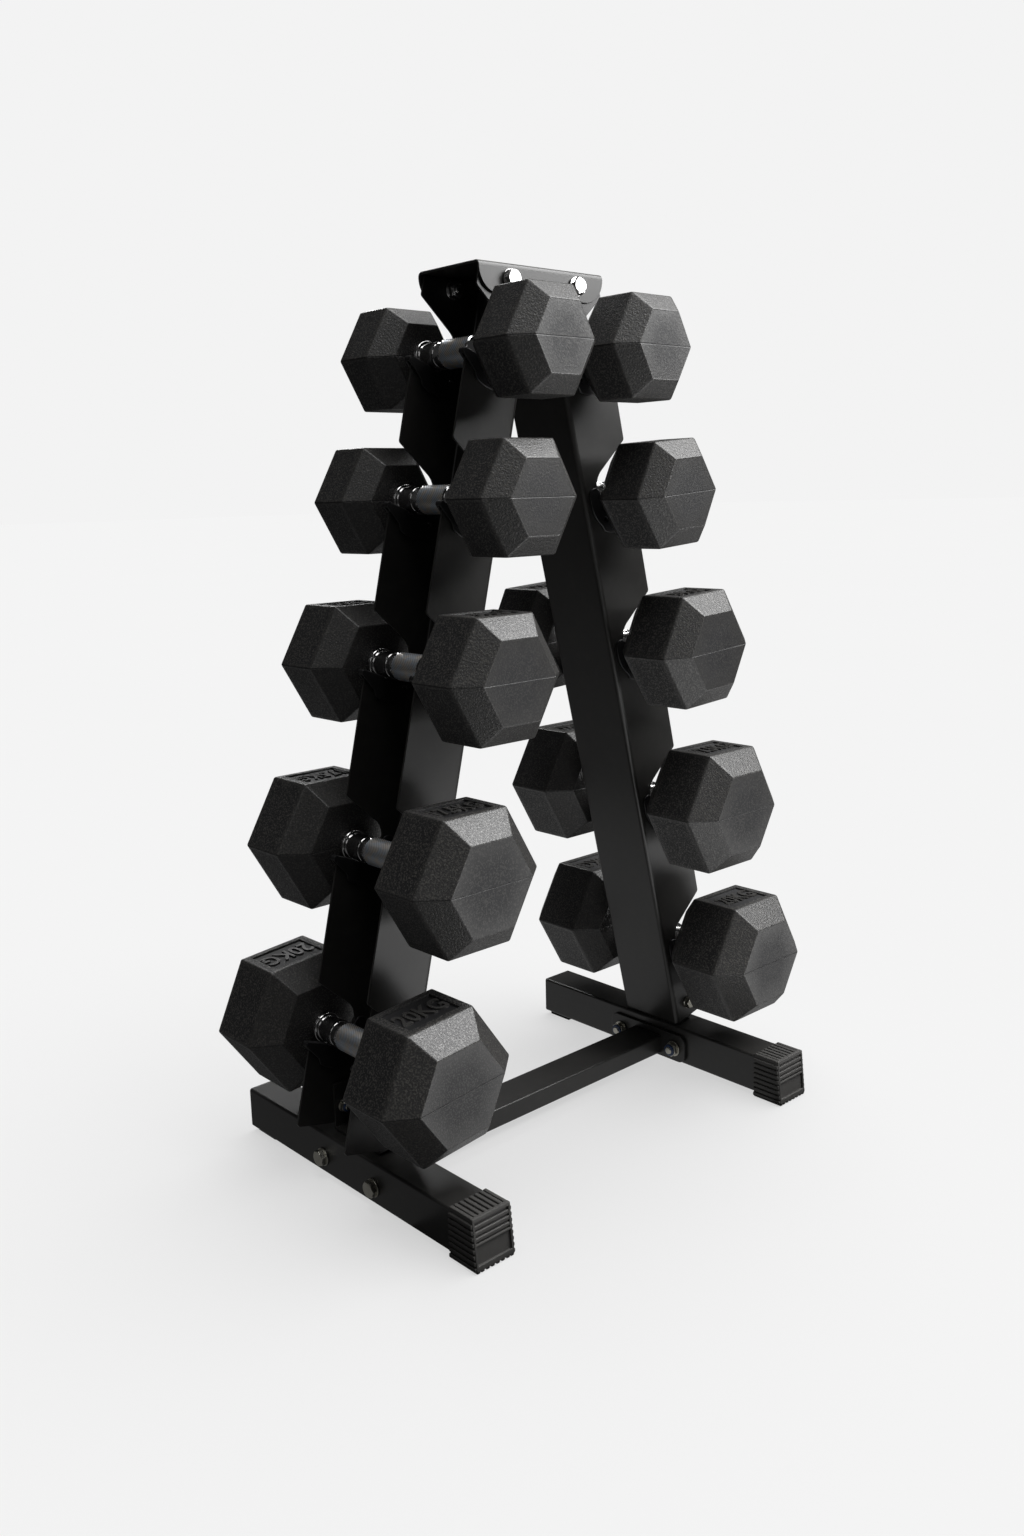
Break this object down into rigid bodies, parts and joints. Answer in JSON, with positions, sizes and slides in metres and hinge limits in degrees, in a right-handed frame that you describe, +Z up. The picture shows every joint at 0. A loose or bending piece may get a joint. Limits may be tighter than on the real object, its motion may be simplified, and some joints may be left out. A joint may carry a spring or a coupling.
{
  "type": "dumbbell rack",
  "caption": "Steel A-frame rack with notched channel uprights and plastic saddles, loaded with pairs of rubber-covered hex dumbbells that lift off.",
  "frame": {"origin": "middle of the footprint, on the floor", "axes": "+X along the crossbar, +Y from the ribbed front caps to the back, +Z up"},
  "size_m": [0.693, 0.4236, 1.008],
  "materials": {
    "coated_steel": "satin",
    "ribbed_rubber": "matte",
    "head_rubber": "matte",
    "saddle_plastic": "satin",
    "chrome_bar": "polished",
    "chrome_fastener": "polished",
    "zinc_fastener": "satin"
  },
  "bodies": {
    "rack": {"base_rail_left": "coated_steel", "front_cap_left": "ribbed_rubber", "upright_left": "coated_steel", "saddle_left_1": "saddle_plastic", "saddle_left_2": "saddle_plastic", "saddle_left_3": "saddle_plastic", "saddle_left_4": "saddle_plastic", "saddle_left_5": "saddle_plastic", "base_bolt_left_front": "zinc_fastener", "top_bolt_left_front": "chrome_fastener", "foot_bolt_left_front": "zinc_fastener", "base_bolt_left_back": "zinc_fastener", "top_bolt_left_back": "chrome_fastener", "foot_bolt_left_back": "zinc_fastener", "base_rail_right": "coated_steel", "front_cap_right": "ribbed_rubber", "upright_right": "coated_steel", "saddle_right_1": "saddle_plastic", "saddle_right_2": "saddle_plastic", "saddle_right_3": "saddle_plastic", "saddle_right_4": "saddle_plastic", "saddle_right_5": "saddle_plastic", "base_bolt_right_front": "zinc_fastener", "top_bolt_right_front": "chrome_fastener", "foot_bolt_right_front": "zinc_fastener", "base_bolt_right_back": "zinc_fastener", "top_bolt_right_back": "chrome_fastener", "foot_bolt_right_back": "zinc_fastener", "crossbar": "coated_steel", "top_bracket": "coated_steel"},
    "dumbbell_left_1": {"dumbbell_bar_left_1": "chrome_bar", "dumbbell_rubber_left_1_front": "head_rubber", "dumbbell_rubber_left_1_back": "head_rubber"},
    "dumbbell_left_2": {"dumbbell_bar_left_2": "chrome_bar", "dumbbell_rubber_left_2_front": "head_rubber", "dumbbell_rubber_left_2_back": "head_rubber"},
    "dumbbell_left_3": {"dumbbell_bar_left_3": "chrome_bar", "dumbbell_rubber_left_3_front": "head_rubber", "dumbbell_rubber_left_3_back": "head_rubber"},
    "dumbbell_left_4": {"dumbbell_bar_left_4": "chrome_bar", "dumbbell_rubber_left_4_front": "head_rubber", "dumbbell_rubber_left_4_back": "head_rubber"},
    "dumbbell_left_5": {"dumbbell_bar_left_5": "chrome_bar", "dumbbell_rubber_left_5_front": "head_rubber", "dumbbell_rubber_left_5_back": "head_rubber"},
    "dumbbell_right_1": {"dumbbell_bar_right_1": "chrome_bar", "dumbbell_rubber_right_1_front": "head_rubber", "dumbbell_rubber_right_1_back": "head_rubber"},
    "dumbbell_right_2": {"dumbbell_bar_right_2": "chrome_bar", "dumbbell_rubber_right_2_front": "head_rubber", "dumbbell_rubber_right_2_back": "head_rubber"},
    "dumbbell_right_3": {"dumbbell_bar_right_3": "chrome_bar", "dumbbell_rubber_right_3_front": "head_rubber", "dumbbell_rubber_right_3_back": "head_rubber"},
    "dumbbell_right_4": {"dumbbell_bar_right_4": "chrome_bar", "dumbbell_rubber_right_4_front": "head_rubber", "dumbbell_rubber_right_4_back": "head_rubber"},
    "dumbbell_right_5": {"dumbbell_bar_right_5": "chrome_bar", "dumbbell_rubber_right_5_front": "head_rubber", "dumbbell_rubber_right_5_back": "head_rubber"}
  },
  "joints": [
    {"name": "lift_off_left_1", "type": "slide", "parent": "rack", "child": "dumbbell_left_1", "axis": [-0.6428, 0, 0.766], "range_m": [0, 0.15]},
    {"name": "lift_off_left_2", "type": "slide", "parent": "rack", "child": "dumbbell_left_2", "axis": [-0.6428, 0, 0.766], "range_m": [0, 0.15]},
    {"name": "lift_off_left_3", "type": "slide", "parent": "rack", "child": "dumbbell_left_3", "axis": [-0.6428, 0, 0.766], "range_m": [0, 0.15]},
    {"name": "lift_off_left_4", "type": "slide", "parent": "rack", "child": "dumbbell_left_4", "axis": [-0.6428, 0, 0.766], "range_m": [0, 0.15]},
    {"name": "lift_off_left_5", "type": "slide", "parent": "rack", "child": "dumbbell_left_5", "axis": [-0.6428, 0, 0.766], "range_m": [0, 0.15]},
    {"name": "lift_off_right_1", "type": "slide", "parent": "rack", "child": "dumbbell_right_1", "axis": [0.6428, 0, 0.766], "range_m": [0, 0.15]},
    {"name": "lift_off_right_2", "type": "slide", "parent": "rack", "child": "dumbbell_right_2", "axis": [0.6428, 0, 0.766], "range_m": [0, 0.15]},
    {"name": "lift_off_right_3", "type": "slide", "parent": "rack", "child": "dumbbell_right_3", "axis": [0.6428, 0, 0.766], "range_m": [0, 0.15]},
    {"name": "lift_off_right_4", "type": "slide", "parent": "rack", "child": "dumbbell_right_4", "axis": [0.6428, 0, 0.766], "range_m": [0, 0.15]},
    {"name": "lift_off_right_5", "type": "slide", "parent": "rack", "child": "dumbbell_right_5", "axis": [0.6428, 0, 0.766], "range_m": [0, 0.15]}
  ]
}
